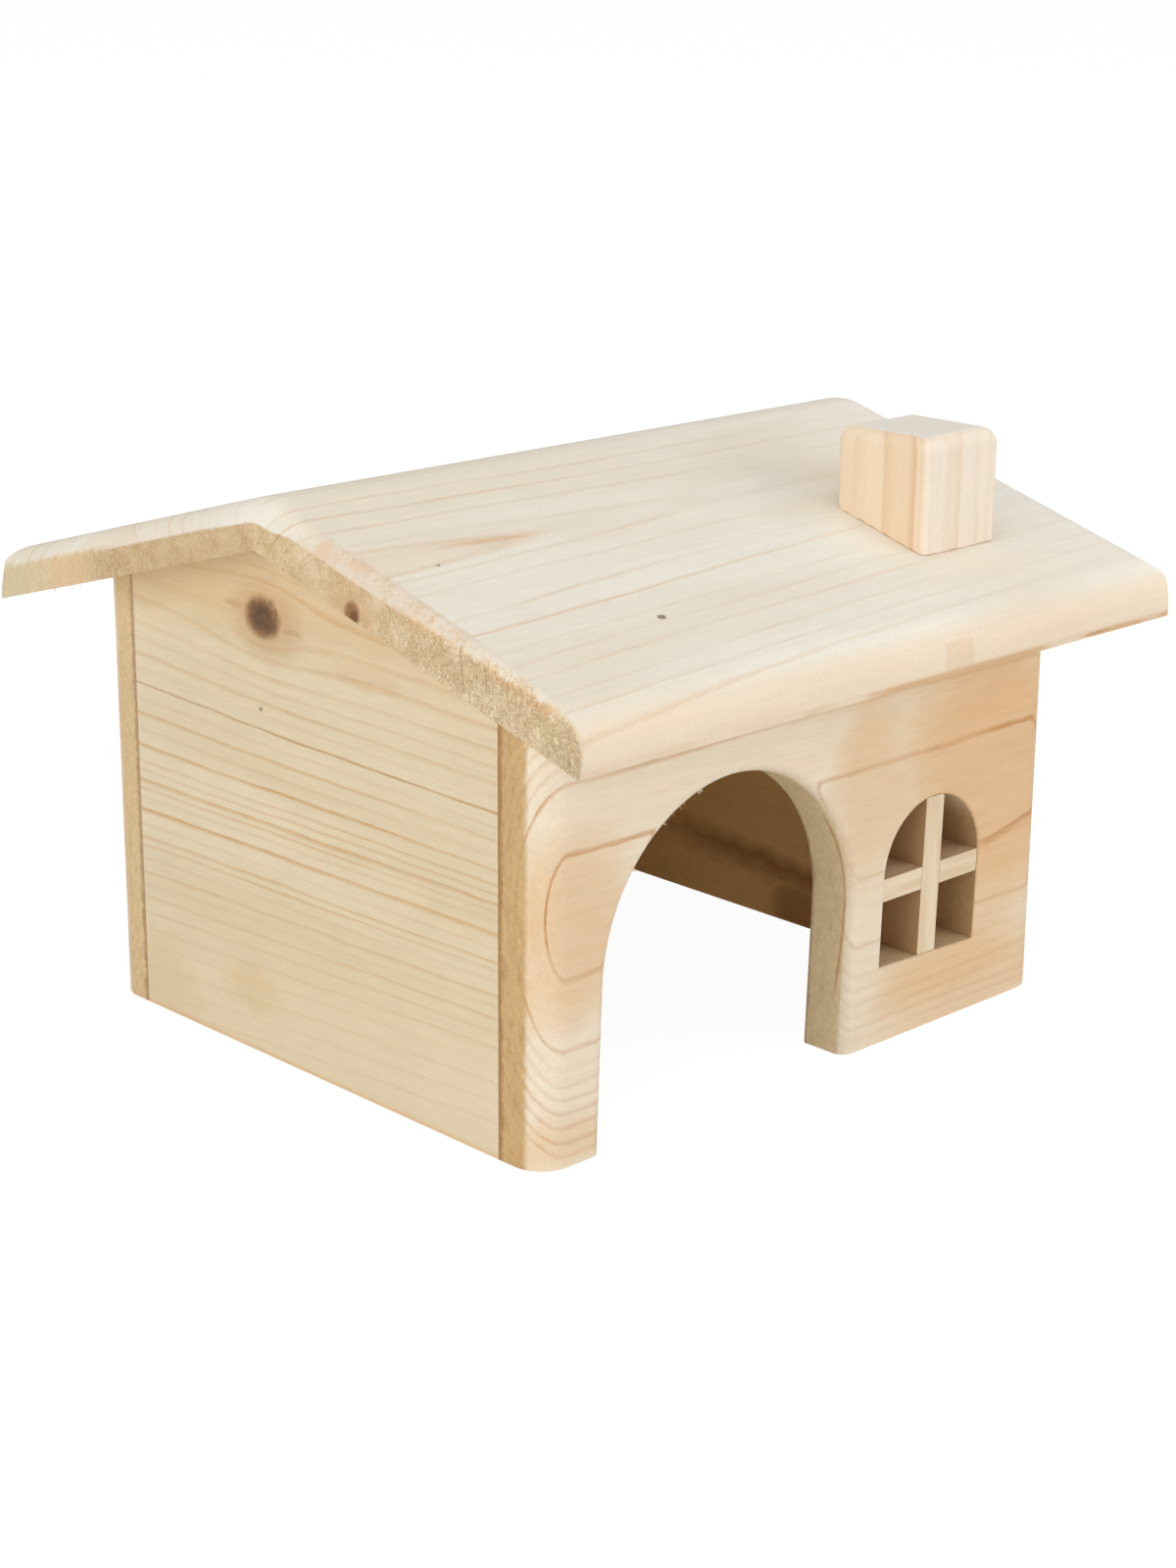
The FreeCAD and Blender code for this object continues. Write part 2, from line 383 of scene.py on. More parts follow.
def left_gable_wood():
    """Left gable: grain level, lines drawing together to the front, and one dark knot."""
    board = Board("left_gable_pine", ALONG_Y)
    across = board.y * -1
    knot_centre, knot_size = (-10.8, 81.0), 4.1
    level, closing = 47.0, 0.0016    # the lines close in on this height, per millimetre across
    height = level + (board.z - level) * (1 + across * closing)
    height = height - bend_at_knot(board, across, knot_centre, knot_size)
    height = height + board.wobble(along=70, across=16, reach=0.5)
    height = height + board.wobble(along=16, across=5, reach=0.22, shift=30)
    height = height + board.wobble(along=4, across=0.6, reach=0.10, shift=50)
    rings = board.broken(board.rings(height, left_gable_marks))
    colour = board.mix(rings * 0.85, gable_colour(board), srgb(202, 153, 88))
    dark_line = board.rings(height, [(61.45, 1.0, 0.30, 0.25)])
    gaps = board.step(board.streaks(along=12, across=3, shift=61), 0.3, 0.6, 0.4, 1.0)
    colour = board.mix(dark_line * gaps * 0.4, colour, srgb(152, 116, 78))
    ripple = board.grit(5, detail=3.0)
    upper = board.step(board.z + ripple * 8, 76, 88)
    colour = board.mix(upper * 0.5, colour, srgb(223, 188, 142))
    smear = board.grit(4, detail=4.0)
    stain_wide = board.spot(across + ripple * 9, board.z + smear * 7,
                            (-12.5, 15.5), (8.0, 4.0), 0.95)
    stain_low = board.spot(across + ripple * 12, board.z + smear * 6,
                           (-37.0, 9.0), (10.0, 9.0), 0.95)
    stain = board.larger(stain_wide * 0.4, stain_low * 0.3)
    colour = board.mix(stain, colour, srgb(220, 190, 138))
    foot = board.step(board.z, 1.1, 0.3)
    colour = board.mix(foot * 0.5, colour, srgb(226, 182, 126))
    blush = board.spot(across, board.z + ripple * 3, (16.0, 77.0), (9.0, 1.8), 0.8)
    colour = board.mix(blush * 0.28, colour, srgb(214, 168, 128))
    colour = gable_knot(board, colour, across, knot_centre, knot_size)
    speck = board.spot(across, board.z, (-12.0, 64.5), (0.55, 0.35))
    colour = board.mix(speck * 0.7, colour, srgb(120, 100, 80))
    return shared_wood(board, colour, rings, srgb(206, 176, 128))


def right_gable_wood():
    """Right gable: level grain, a dark streak and a darker patch low on its inner face."""
    board = Board("right_gable_pine", ALONG_Y)
    height = board.z - board.y * 0.08 + board.wobble(along=60, across=9, reach=0.9)
    height = height + board.wobble(along=14, across=3, reach=0.25, shift=30)
    ring_count, first_ring, ring_gap = 26, 2.6, 3.5
    marks = []
    for number in range(ring_count):
        place = first_ring + number * ring_gap + 0.7 * math.sin(number * 1.7)
        strength = 0.3 + 0.35 * math.sin(number * 2.4) ** 2
        marks.append((place, strength, 0.8, 0.3))
    rings = board.broken(board.rings(height, marks))
    colour = board.mix(rings * 0.7, gable_colour(board), srgb(200, 154, 96))
    indoors = board.indoors()
    # Paler inner face, which the painted indoor shade in shared_wood then darkens.
    colour = board.mix(indoors * 0.7, colour, srgb(250, 224, 184))
    ripple = board.grit(6, detail=3.0)
    streak = board.rings(height + (ripple - 0.5) * 4, [(11.0, 1.0, 5.2, 4.0)])
    streak = streak * board.step(board.y, 38, 10, 0.35, 1.0) * board.step(board.y, -30, -12)
    # A darker brown patch low on the inner face, near the ground.
    stain = board.spot(board.y + ripple * 6, board.z, (-3.0, 2.5), (6.5, 6.0), 0.95)
    dark = board.larger(streak * 0.75, stain * 0.6)
    colour = board.mix(dark * indoors, colour, srgb(150, 104, 62))
    return shared_wood(board, colour, rings, srgb(206, 176, 128))


# Front and back wall

wall_marks = [
    (41.3, 0.90, 0.13, 0.24), (46.1, 0.60, 0.40, 0.20), (47.8, 0.20, 0.50, 0.20),
    (49.4, 0.30, 0.60, 0.20), (50.9, 0.25, 0.60, 0.20), (52.5, 0.38, 0.60, 0.20),
    (54.2, 0.30, 0.60, 0.20), (55.9, 0.40, 0.60, 0.20), (57.4, 0.30, 0.60, 0.20),
]
# Warmth of the wood in bands along the rings: distance from the pith, and share.
wall_bands = [
    (40.4, 0.0), (41.4, 0.2), (42.8, 0.5), (44.8, 0.1), (46.2, 0.4), (47.2, 0.1), (49.0, 0.3),
    (50.0, 0.1), (53.0, 0.3), (56.0, 0.1),
]


def wall_field(board, face_side, centre_height, shift):
    """Distance from a pith outside the wall, and the depth behind the wall's outer face.

    The wall faces the same way as the front wall where face_side is 1, and away where it is -1.
    """
    pith_distance = 40.0
    depth = board.y * face_side - front_face
    away = depth + pith_distance
    rise = board.z - centre_height + board.wobble(along=70, across=12, reach=1.0, shift=shift)
    rise = rise + board.wobble(along=14, across=4, reach=0.3, shift=shift + 40)
    rise = rise + board.wobble(along=3, across=0.8, reach=0.22, shift=shift + 50)
    return (away * away + rise * rise) ** 0.5, depth


def joint_stain(board, depth):
    """Brown line of old glue on the wall's end, beside the gable."""
    edge = board.grit(1.1, detail=3.0) * 1.3 + board.grit(5) * 1.2
    distance = board.unsigned(depth - wall_thickness) + edge
    return board.step(distance, 2.7, 1.7) * board.step(board.facing, 0.7, 0.9)


def front_wall_rings(board, radius):
    """Strength of the front wall's rings, which fade in two places and are bold in others."""
    rings = board.broken(board.rings(radius, wall_marks), 0.4)
    rings = rings * board.step(board.x, -20, 15, 1.0, 0.6) * board.step(board.x, -61, -64, 1.0, 1.7)
    under_window = board.spot(board.x, board.z, (52.0, 31.5), (26.0, 4.0), 0.6)
    at_doorway = board.spot(board.x, board.z, (14.0, 42.0), (9.0, 10.0), 0.6)
    plain = board.larger(under_window, at_doorway)
    bold = board.spot(board.x, board.z, (60.0, 53.0), (14.0, 6.0), 0.6)
    return rings * (1 - plain * 0.75) * (bold * 1.2 + 1)


def warm_patches(board, radius):
    """Where the front wall is warmer: rippled ovals, and bands along its rings."""
    ripple = board.streaks(along=24, across=8, detail=3.0, shift=12)
    x = board.x + (ripple - 0.5) * 14
    z = board.z + (ripple - 0.5) * 10
    warm = board.spot(x, z, (49.0, 44.0), (26.0, 27.0), 0.8)
    for centre, radii, share in (
        ((-58.0, 41.0), (13.0, 15.0), 0.75),
        ((34.0, 71.0), (38.0, 9.0), 0.35),
        ((38.0, 11.0), (19.0, 6.5), 0.70),
        ((14.0, 50.0), (9.0, 16.0), 0.65),
        ((-60.0, 4.0), (16.0, 4.0), 0.50),
        ((47.0, 5.0), (27.0, 9.0), 0.62),
    ):
        warm = warm + board.spot(x, z, centre, radii, 0.95) * share * (1 - warm)
    band = board.ramp(radius, 40, 60, wall_bands)
    fine = board.streaks(along=14, across=1.6, shift=8) - 0.5
    warm = board.smaller(warm * 0.9 + band * 0.25 + fine * 0.35, 1.0)
    return board.larger(warm, 0.0)


def window_vein(board):
    """Dark line that climbs from the window to the wall's right end."""
    climb = board.step(board.x, 45, 66, 0.0, 3.2)
    climb = climb + board.wobble(along=9, across=4, reach=0.3, shift=90)
    vein = board.rings(board.z - climb, [(32.4, 1.0, 1.8, 0.45)])
    vein = vein * board.step(board.x, 42, 50, 0.2, 1.0) * board.step(board.x, 36, 44)
    vein = vein * board.streaks(along=5, across=0.5, shift=33) * 1.7
    return board.smaller(vein, 1.0)


def front_end_colour(board, depth, opening):
    """Colour of the front wall's end grain, at its ends and inside its openings, with painted shade
    in the window's recess.
    """
    colour = board.mix(opening, srgb(208, 174, 124), srgb(232, 210, 170))
    # Painted shade: the window's reveals made darker brown, and its sill a little less, for the
    # shade deep in the recess.
    window_recess_shade = board.step(board.x, window_left - 2, window_left - 1)
    window_recess_shade = window_recess_shade * board.step(board.x, window_right + 2, window_right + 1)
    window_recess_shade = window_recess_shade * board.step(board.facings[ALONG_Z], 0.8, 0.4, 0.35, 0.9)
    colour = board.mix(window_recess_shade, colour, srgb(182, 144, 99))
    mottle = board.noise(board.join(0.0, board.y / 1.3, board.z / 4.5), detail=3.0)
    mottle = board.step(mottle, 0.5, 0.7) * (0.5 - opening * 0.35)
    colour = board.mix(mottle, colour, srgb(186, 146, 96))
    crack_middle, crack_half, crack_bend = 30, 24, 2.2
    bow = (board.z - crack_middle) / crack_half
    crack = board.rings(depth - bow * bow * crack_bend, [(1.8, 0.8, 0.7, 0.25)]) * opening
    crack = crack * board.step(board.z, 8, 16)
    crack = crack * board.step(board.x, 4, 6) * board.step(board.x, 22, 18)
    colour = board.mix(crack, colour, srgb(196, 140, 84))
    return board.mix(joint_stain(board, depth) * 0.65, colour, srgb(148, 98, 50))


def front_wall_wood():
    """Front wall: rings round a pith in front of the house, warm patches and sawn openings."""
    board = Board("front_wall_pine", ALONG_X)
    radius, depth = wall_field(board, face_side=1, centre_height=43.2, shift=0.0)
    rings = front_wall_rings(board, radius)
    colour = board.mix(warm_patches(board, radius), srgb(242, 228, 204), srgb(233, 193, 146))
    colour = board.mix(rings * 0.9, colour, srgb(200, 142, 84))
    colour = board.mix(window_vein(board) * 0.9, colour, srgb(202, 144, 96))
    opening = board.step(board.unsigned(board.x), 62, 60)
    end_colour = front_end_colour(board, depth, opening)
    sawn = board.step(board.facings[ALONG_Y], 0.5, 0.2) * opening
    rough_facing = board.facing + (board.grit(1.5, detail=3.0) - 0.5) * 0.05
    end = board.larger(board.step(rough_facing, 0.90, 0.97), sawn)
    return shared_wood(board, colour, rings, end_colour, end, fibre_change=0.20)


def back_wall_wood():
    """Back wall: as the front wall, from another board."""
    board = Board("back_wall_pine", ALONG_X)
    radius, depth = wall_field(board, face_side=-1, centre_height=30.0, shift=57.0)
    rings = board.broken(board.rings(radius, wall_marks), 0.4)
    warm = board.step(board.streaks(along=55, across=12, shift=80), 0.35, 0.7)
    colour = board.mix(warm, srgb(239, 223, 198), srgb(231, 200, 162))
    colour = board.mix(rings * 0.8, colour, srgb(198, 142, 98))
    joint = joint_stain(board, depth) * 0.5
    end_colour = board.mix(joint, srgb(220, 192, 148), srgb(130, 92, 54))
    return shared_wood(board, colour, rings, end_colour)


# Roof

# Each place is a distance from the pith, negative on the ridge's side of the flame.
roof_marks = [
    (-40.0, 0.30, 0.5, 0.4), (-29.5, 0.30, 0.5, 0.4), (-25.0, 0.50, 0.4, 0.35),
    (-21.8, 0.85, 0.3, 0.35), (-18.6, 0.50, 0.35, 0.4), (-15.7, 0.30, 0.2, 0.3),
    (-14.8, 0.60, 0.15, 0.25), (14.8, 0.60, 0.25, 0.15), (15.7, 0.45, 0.3, 0.2),
    (18.5, 0.25, 0.5, 0.25), (24.6, 0.50, 0.6, 0.3), (29.2, 0.75, 0.6, 0.3),
    (34.6, 0.30, 0.7, 0.3), (38.2, 0.28, 0.7, 0.3), (42.0, 0.55, 0.7, 0.3),
    (47.5, 0.30, 0.7, 0.3), (51.5, 0.35, 0.7, 0.3), (55.5, 0.40, 0.7, 0.3),
]
roof_look = {"fibre_change": 0.09, "end_change": 0.25}


def roof_field(board, side):
    """Distance down the slope from the ridge, and depth below the upper face."""
    outwards = board.y * side
    below_ridge = ridge_height - board.z
    down = outwards * math.cos(pitch) + below_ridge * math.sin(pitch)
    depth = below_ridge * math.cos(pitch) - outwards * math.sin(pitch)
    return down, depth


def torn_end(board, down, depth, least, tear):
    """Colour, relief and mask of a roof board's rough sawn ends, roughest towards the eave.

    least is the roughness at the ridge, and tear how far fibres are torn out of the upper face.
    """
    rough = board.step(down, 20, 62, least, 1.0)
    curl = board.grit(2.2)
    fleck_place = board.join(down / 0.28 + curl * 12, depth / 0.7 + curl * 9, board.x / 0.6)
    flecks = board.noise(fleck_place, roughness=0.6)
    pale_curls = board.unsigned(board.grit(0.75, detail=1.0) - 0.5)
    curl_place = board.join(down, depth / 0.8, curl * 2)
    dark_curls = board.unsigned(board.noise(curl_place, detail=1.0) - 0.5)
    patches = board.step(board.grit(4, detail=3.0), 0.3, 0.7)
    colour = board.mix(patches, srgb(228, 203, 164), srgb(209, 178, 134))
    upper = board.step(depth + curl * 2.4, 4.6, 2.8) * board.step(down, 12, 24)
    upper = upper * board.step(board.grit(6), 0.35, 0.6)
    colour = board.mix(upper * 0.5, colour, srgb(226, 176, 118))
    tip = board.step(down, 72, 79) * board.step(depth, 4, 7)
    colour = board.mix(tip * 0.5, colour, srgb(190, 172, 140))
    mould = board.spot(down, depth, (74.0, 4.4), (3.0, 1.6), 0.9)
    colour = board.mix(mould * 0.3, colour, srgb(200, 190, 126))
    for mask, share, tone in (
        (board.step(dark_curls, 0.05, 0.0), 0.5, srgb(160, 122, 80)),
        (board.step(flecks, 0.44, 0.34), 0.55, srgb(158, 122, 84)),
        (board.step(flecks, 0.54, 0.66), 0.7, srgb(250, 236, 206)),
        (board.step(pale_curls, 0.045, 0.0), 0.45, srgb(252, 240, 214)),
    ):
        colour = board.mix(mask * rough * share, colour, tone)
    from_end = roof_end - board.unsigned(board.x)
    colour = board.mix(board.step(from_end, 0.1, 0.5) * 0.6, colour, srgb(244, 224, 190))
    torn = board.step(down, 34, 60, 0.0, tear)
    reach = (flecks * 0.5 + curl * 0.5 - 0.45) * torn * 6.0
    ragged = board.step(from_end - reach, 0.45, 0.05) * board.step(torn, 0.0, 0.2)
    face = board.step(board.facing, *END_GRAIN)
    return colour, flecks * rough * face * 0.25, board.larger(face, ragged)


def roof_wood(board, down, depth, centre, far):
    """Roof board's colour and its rings, which draw a flame.

    The flame's line lies at centre, in millimetres down the slope, and the flame narrows
    along x until far.
    """
    near = 15.6    # depth of the pith under the upper face, where x is nought
    along = board.x + 70
    lean = board.step(down, 28, 46, 0.0, 0.06)
    drop = down + along * lean - centre + board.wobble(along=70, across=12, reach=0.9)
    drop = drop + board.wobble(along=14, across=4, reach=0.3, shift=40)
    drop = drop + board.wobble(along=4, across=0.6, reach=0.12, shift=50)
    away = board.smaller(board.x, far) * 0.02 + near - depth
    radius = (away * away + drop * drop) ** 0.5
    radius = radius * board.math("SIGN", drop)
    rings = board.broken(board.rings(radius, roof_marks), 0.35)
    rings = rings * board.step(board.x, -20, 55, 1.0, 0.4)
    tone = board.step(board.streaks(along=80, across=18, shift=5), 0.35, 0.65)
    colour = board.mix(tone, srgb(241, 234, 220), srgb(236, 225, 206))
    bright = board.step(board.x, 30, 75)
    colour = board.mix(bright * 0.7, colour, srgb(247, 241, 230))
    flame = board.step(board.unsigned(radius), near - 0.3, near - 1.4)
    colour = board.mix(flame * 0.35, colour, srgb(232, 204, 172))
    eave = board.step(down, 77, 81)
    colour = board.mix(eave * 0.7, colour, srgb(242, 218, 187))
    colour = board.mix(rings * 0.75, colour, srgb(216, 174, 124))
    return colour, rings


def sanded_edge_shade_and_tint(board, colour, down):
    """The colour with pinkish painted shade on the sanded edge beside the roof's left end, and a
    warm tint on it in patches.
    """
    edge_shade_and_tint = board.step(board.x, 3.6 - roof_end, 2.6 - roof_end)
    edge_shade_and_tint = edge_shade_and_tint * board.step(down, 10, 18) * board.step(down, 62, 48)
    # Painted shade: the sanded, rounded edge made darker and pinkish grey.
    colour = board.mix(edge_shade_and_tint * 0.65, colour, srgb(224, 206, 186))
    patches = board.step(board.streaks(along=4, across=3, detail=3.0, shift=9), 0.45, 0.62)
    return board.mix(edge_shade_and_tint * patches * 0.4, colour, srgb(222, 182, 138))


def eave_details(board, colour, down, depth):
    """The colour with brown painted shade in streaks along the eave's lower edge, a stain in it,
    and a square patch above.
    """
    on_eave = board.step(down, 74, 77)
    # Painted shade: brown streaks along the eave's lower edge, where it turns under.
    eave_edge_shade = board.step(depth, roof_thickness - 1.7, roof_thickness - 0.6) * on_eave
    eave_edge_shade = eave_edge_shade * board.step(board.x, -40, 0, 0.25, 1.0)
    eave_edge_shade = eave_edge_shade * board.step(board.streaks(along=14, across=3, shift=21), 0.3, 0.6)
    colour = board.mix(eave_edge_shade * 0.75, colour, srgb(212, 164, 110))
    stain = board.spot(board.x + board.grit(1.0) * 3, depth, (54.0, 7.9), (3.6, 0.4), 0.9)
    colour = board.mix(stain * on_eave * 0.6, colour, srgb(190, 134, 80))
    patch = board.step(board.x, 10.0, 10.6) * board.step(board.x, 17.8, 17.2)
    patch = patch * board.step(depth, 2.4, 3.2) * board.step(down, 77, 78)
    return board.mix(patch * 0.28, colour, srgb(226, 186, 140))


def end_knot(board, colour, down, depth):
    """The left end's colour with a cut knot at its lower edge."""
    left = board.step(board.x, 10, -10)
    halo = board.spot(down, depth, (28.0, 6.6), (4.6, 3.4), 0.9) * left
    colour = board.mix(halo * 0.45, colour, srgb(206, 158, 112))
    ragged_down = down + (board.grit(1.0) - 0.5) * 1.4
    knot = board.spot(ragged_down, depth, (28.0, 7.4), (1.8, 1.9), 0.75) * left
    colour = board.mix(knot * 0.85, colour, srgb(142, 92, 58))
    heart = board.spot(down, depth, (28.7, 7.8), (1.0, 1.1), 0.8) * left
    return board.mix(heart * 0.6, colour, srgb(98, 64, 42))


def roof_front_wood():
    """Front roof board: a flame, a few dark specks, and torn ends, the left one with a knot."""
    board = Board("roof_front_pine", ALONG_X)
    down, depth = roof_field(board, side=-1)
    colour, rings = roof_wood(board, down, depth, centre=26.8, far=5.0)
    tip_line = down - board.x * 0.06 + board.grit(2.5) - 0.5
    tip = board.spot(board.x, tip_line, (-46.5, 29.3), (9.0, 0.8), 0.8)
    tip = tip * board.step(board.streaks(along=5, across=0.4, shift=44), 0.3, 0.6, 0.4, 1.0)
    colour = board.mix(tip * 0.55, colour, srgb(222, 174, 130))
    colour = sanded_edge_shade_and_tint(board, colour, down)
    for place, radii, strength in (
        ((-36.7, 58.6), (0.9, 0.7), 0.8),
        ((-60.8, 30.8), (0.5, 0.35), 0.6),
        ((-66.0, 92.0), (0.6, 0.4), 0.5),
    ):
        speck = board.spot(board.x + board.grit(1.0) - 0.5, down, place, radii)
        colour = board.mix(speck * strength, colour, srgb(112, 88, 66))
    colour = eave_details(board, colour, down, depth)
    end_colour, end_relief, end = torn_end(board, down, depth, least=0.5, tear=1.0)
    end_colour = end_knot(board, end_colour, down, depth)
    rings = rings * board.step(depth, 7, 2, 1.0, 2.2)
    return shared_wood(board, colour, rings, end_colour, end, end_relief=end_relief, **roof_look)


def roof_rear_wood():
    """Rear roof board: a plainer piece of the same wood, its ends worn smooth at the eave."""
    board = Board("roof_rear_pine", ALONG_X)
    down, depth = roof_field(board, side=1)
    colour, rings = roof_wood(board, down, depth, centre=44.0, far=30.0)
    end_colour, end_relief, end = torn_end(board, down, depth, least=0.6, tear=0.25)
    end_colour = board.mix(0.3, end_colour, srgb(190, 150, 100))
    worn = board.step(down + board.grit(4) * 8, 50, 62)
    end_colour = board.mix(worn * 0.75, end_colour, srgb(228, 207, 170))
    peach = board.step(down, 50, 55) * board.step(down, 66, 61)
    end_colour = board.mix(peach * 0.45, end_colour, srgb(232, 190, 146))
    pale_tip = board.step(down + board.grit(5) * 4, 71, 77)
    end_colour = board.mix(pale_tip * 0.4, end_colour, srgb(210, 200, 166))
    end_relief = end_relief * (1 - worn * 0.8)
    return shared_wood(board, colour, rings, end_colour, end, end_relief=end_relief, **roof_look)


# Chimney and window bars

chimney_marks = [
    (-16.0, 0.15, 1.5, 0.5), (-9.5, 0.60, 0.35, 2.2), (-2.6, 1.00, 1.5, 0.35),
    (-1.2, 0.3, 0.4, 0.4), (1.6, 0.20, 0.6, 0.5), (9.4, 0.45, 1.6, 0.5),
    (14.5, 0.22, 1.6, 0.6), (17.8, 0.22, 1.4, 0.5),
]


def chimney_wood():
    """Chimney: upright grain, a darker strip on its left face, its crown end grain.

    across runs round the front left corner: below nought on the left face, above it in front.
    """
    board = Board("chimney_pine", ALONG_Z)
    from_left = board.x - chimney_low[0]
    from_front = board.y - chimney_low[1]
    across = from_left - from_front + board.wobble(along=40, across=6, reach=0.25)
    rings = board.rings(across, chimney_marks)
    front = board.step(across, -1.2, 0.6)
    colour = board.mix(front, srgb(243, 221, 193), srgb(246, 232, 214))
    warm = board.step(board.streaks(along=40, across=4, shift=5), 0.4, 0.7)
    colour = board.mix(warm * 0.3, colour, srgb(236, 208, 174))
    strip = board.step(across, -9.9, -9.3) * board.step(across, -2.2, -2.7)
    colour = board.mix(strip * 0.42, colour, srgb(238, 206, 170))
    colour = board.mix(rings * 0.45, colour, srgb(210, 160, 108))
    down, depth = roof_field(board, side=-1)
    glue = board.step(board.grit(1.5) * 0.7 - depth, 0.75, 0.45)
    colour = board.mix(glue * 0.6, colour, srgb(176, 140, 96))
    crown = board.step(board.facing, 0.93, 0.99)
    return shared_wood(board, colour, rings * 0.08, srgb(242, 234, 222), crown,
                       fibre_change=0.08, end_change=0.12)


def bar_wood(name, grain):
    """Thin bar, pale and planed on its face, with brown painted shade on its sides, deep in the
    window's recess.
    """
    board = Board(name, grain)
    tone = board.step(board.streaks(along=25, across=1.6, shift=5), 0.35, 0.65)
    colour = board.mix(tone, srgb(240, 222, 192), srgb(231, 207, 172))
    # Painted shade: the bar's sides, deep in the window's recess, made brown.
    sides = board.step(board.facings[ALONG_X], 0.5, 0.8) * 0.85
    sides = sides + board.step(board.facings[ALONG_Z], 0.5, 0.8) * 0.4
    colour = board.mix(sides, colour, srgb(178, 134, 87))
    return shared_wood(board, colour, tone * 0.3, srgb(214, 184, 138), fibre_change=0.12)


# CAD nodes

def dress(node, material):
    """Give a CAD node one material."""
    mesh = nodes[node].data
    mesh.materials.clear()
    mesh.materials.append(material)


def ease_edges(node, width):
    """Round a CAD node's sharp edges slightly, so that they catch light and show the joints."""
    bevel = nodes[node].modifiers.new("eased_edges", "BEVEL")
    bevel.width = width * MM
    bevel.segments = 2
    bevel.limit_method = "ANGLE"
    bevel.angle_limit = math.radians(40)


bar_easing, board_easing = 0.12, 0.25
for name in nodes:
    ease_edges(name, bar_easing if name.startswith("window") else board_easing)

dress("left_gable", left_gable_wood())
dress("right_gable", right_gable_wood())
dress("front_wall", front_wall_wood())
dress("back_wall", back_wall_wood())
dress("roof_front_board", roof_front_wood())
dress("roof_rear_board", roof_rear_wood())
dress("chimney", chimney_wood())
dress("window_upright_bar", bar_wood("upright_bar_pine", ALONG_Z))
dress("window_cross_bar", bar_wood("cross_bar_pine", ALONG_X))


# Torn fibres

def fibre_object(name, fibres):
    """Thin tapering splinters in one mesh.

    Each has a root, a direction, a bend, a length and a width, in millimetres.
    """
    points = []
    faces = []
    rings, corners = 3, 3
    taper = 0.6
    for root, direction, bend, length, width in fibres:
        direction = direction.normalized()
        side = direction.orthogonal().normalized()
        other = direction.cross(side)
        first = len(points)
        for ring in range(rings):
            share = ring / rings
            centre = root + direction * (length * share) + bend * (length * share ** 2)
            radius = width / 2 * (1 - taper * share)
            for corner in range(corners):
                angle = 2 * math.pi * corner / corners
                outwards = side * math.cos(angle) + other * math.sin(angle)
                points.append((centre + outwards * radius) * MM)
        tip = len(points)
        points.append((root + direction * length + bend * length) * MM)
        for ring in range(rings - 1):
            here = first + ring * corners
            above = here + corners
            for corner in range(corners):
                beside = (corner + 1) % corners
                faces.append((here + corner, here + beside, above + beside, above + corner))
        last = first + (rings - 1) * corners
        for corner in range(corners):
            faces.append((last + corner, last + (corner + 1) % corners, tip))
        faces.append((first + 2, first + 1, first))
    mesh = bpy.data.meshes.new(name)
    mesh.from_pydata(points, [], faces)
    made = bpy.data.objects.new(name, mesh)
    bpy.context.scene.collection.objects.link(made)
    board = Board(name + "_pine", ALONG_X)
    tone = board.grit(0.8)
    colour = board.mix(tone, srgb(250, 238, 216), srgb(232, 204, 164))
    mesh.materials.append(shared_wood(board, colour, tone * 0.2, srgb(240, 216, 176)))
    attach(made, "root")


def roof_point(side, x, down, depth):
    """Place in millimetres on a roof board, from its distance down the slope and its depth."""
    outwards = down * math.cos(pitch) - depth * math.sin(pitch)
    below = down * math.sin(pitch) + depth * math.cos(pitch)
    return Vector((x, outwards * side, ridge_height - below))


def loose(reach):
    """Small random vector, up to reach in each direction."""
    return Vector([random.uniform(-reach, reach) for _ in range(3)])


def root_on(node, place):
    """Nearest place in millimetres on a CAD node's surface, and the direction out of it."""
    _, surface, normal, _ = nodes[node].closest_point_on_mesh(place * MM)
    return surface / MM, normal


def kept_in(root, direction, length, width):
    """The length, shortened where the fibre would reach past the roof's left end."""
    least_slope = 0.01
    room = root.x + roof_end - width
    return min(length, room / max(-direction.normalized().x, least_slope))


def upper_edge_fibres(tries):
    """Fibres on the rounded upper edge of the front board's left end, densest at the eave."""
    lowest, span = 69, 48
    ridge_round, round_loss = 3.6, 0.0345    # the rounding's width, and its loss per millimetre
    inwards = Vector((0.2, 0, 0))
    shortest = 0.1
    fibres = []
    for _ in range(tries):
        down = lowest - span * random.random() ** 1.5
        inset = (ridge_round - round_loss * down) * random.uniform(0.05, 0.8)
        root, normal = root_on("roof_front_board", roof_point(-1, -roof_end + inset, down, 0.0))
        direction = normal + loose(0.9)
        width = random.uniform(0.10, 0.19)
        length = kept_in(root, direction, random.uniform(0.5, 1.3), width)
        if length > shortest:
            fibres.append((root, direction, loose(0.15) + inwards, length, width))
    return fibres


def lower_edge_fibres(count):
    """Fibres that hang from the underside of both roof boards, along their left ends."""
    sunk = 0.05
    fibres = []
    for _ in range(count):
        side = random.choice((-1, 1))
        down = random.uniform(4, 66)
        inset = random.uniform(0.3, 0.8)
        root = roof_point(side, -roof_end + inset, down, roof_thickness - sunk)
        direction = Vector((0, 0, -1)) + loose(0.7)
        direction.x = abs(direction.x)
        bend = loose(0.3)
        length = random.uniform(0.3, 0.9)
        fibres.append((root, direction, bend, length, random.uniform(0.08, 0.16)))
    return fibres


